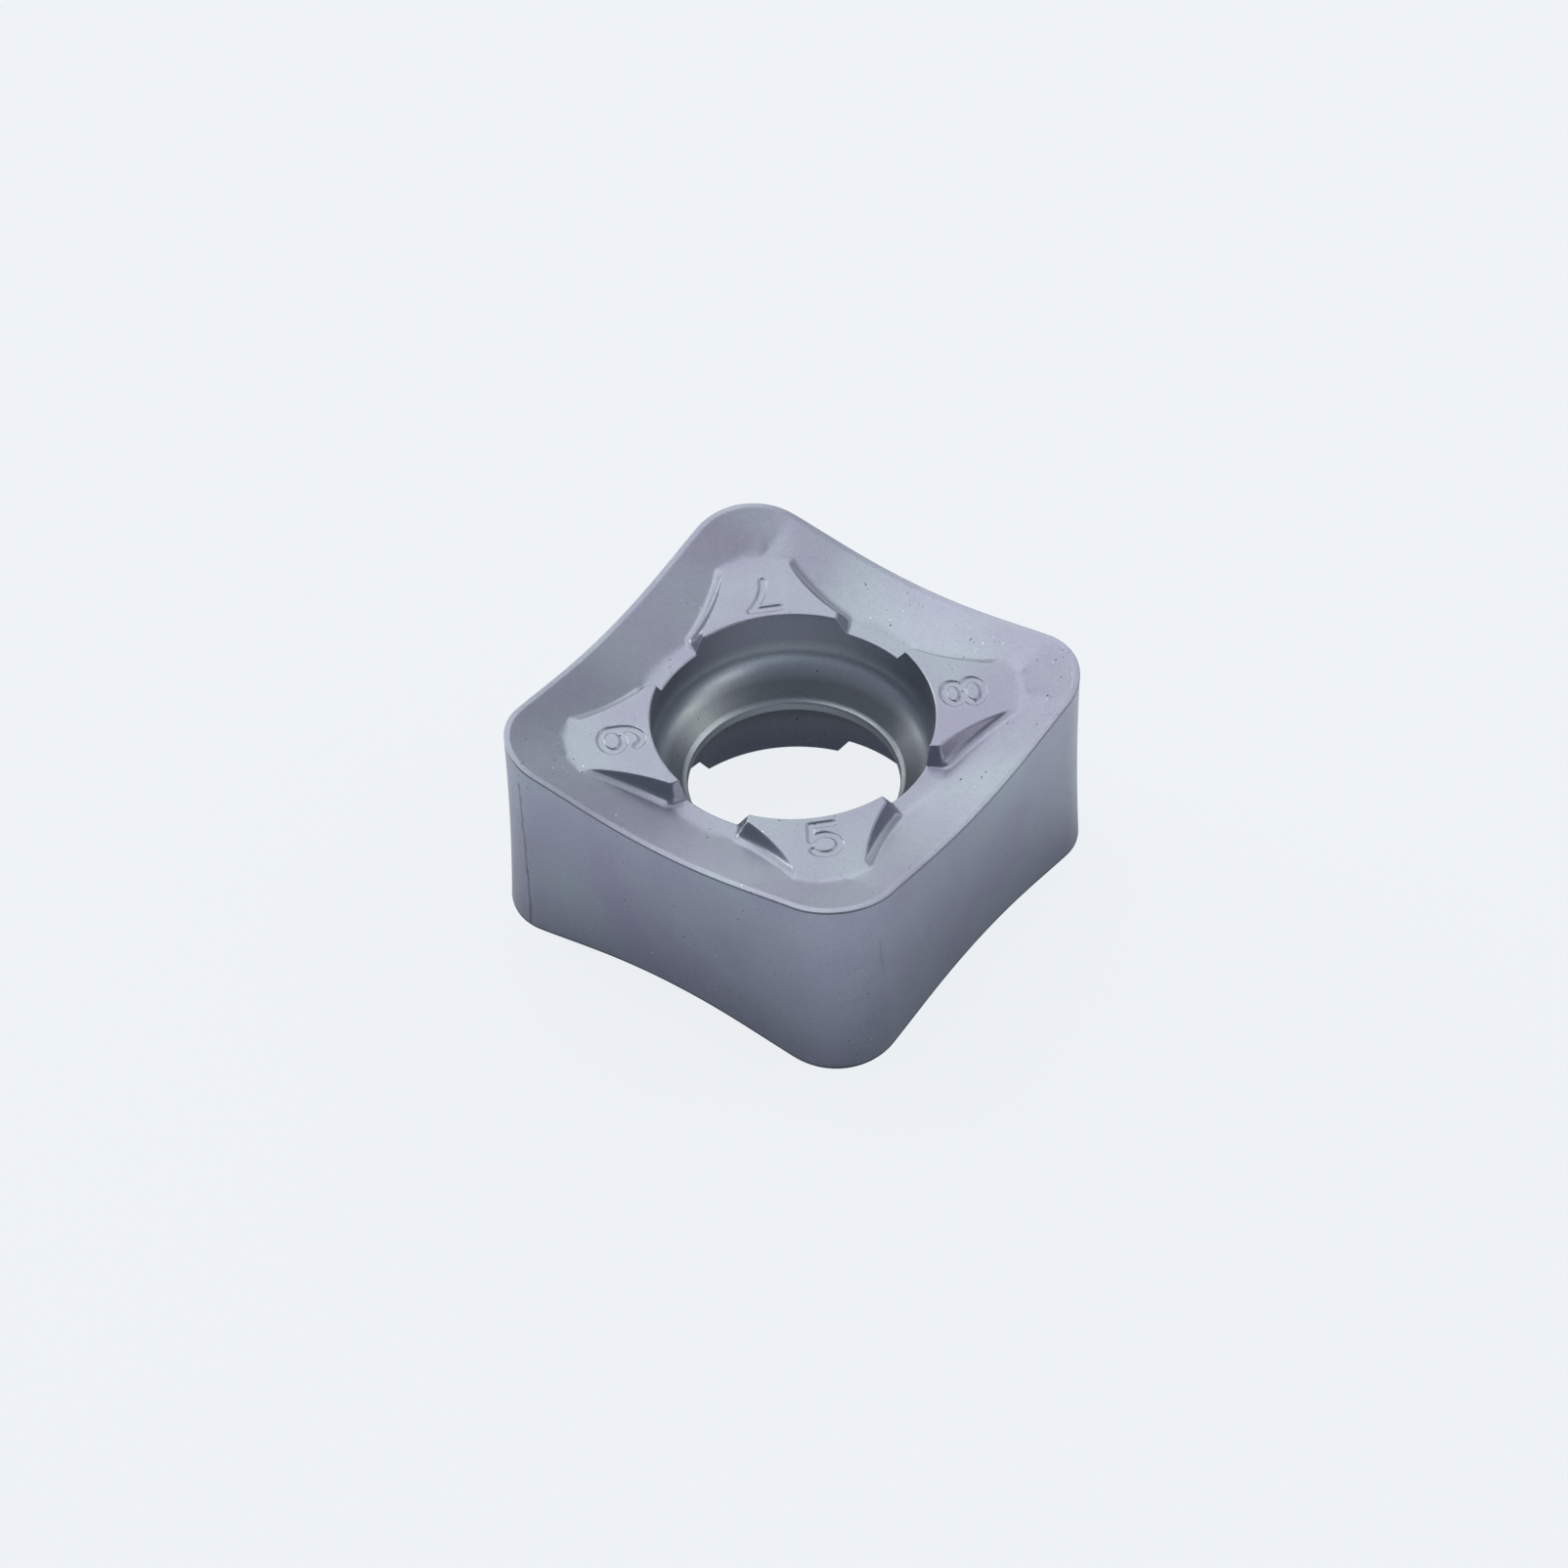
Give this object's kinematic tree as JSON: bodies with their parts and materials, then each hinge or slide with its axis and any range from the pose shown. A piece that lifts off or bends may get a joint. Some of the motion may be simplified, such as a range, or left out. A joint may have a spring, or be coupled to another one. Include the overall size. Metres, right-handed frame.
{
  "type": "square double-sided milling insert",
  "caption": "Square tungsten carbide milling insert, double-sided, with wavy cutting edges, sunk seat pads and a stepped screw hole.",
  "frame": {"origin": "middle of the insert: on the axis of the screw hole, half way between the two faces", "axes": "+Z along the screw hole, out of the upper face; +X and +Y square to two neighbouring flanks"},
  "size_m": [0.0126, 0.0126, 0.0064],
  "materials": {
    "coated_carbide": "satin dark grey hard coating on tungsten carbide"
  },
  "bodies": {
    "root": {"insert_body": "coated_carbide"}
  },
  "joints": []
}
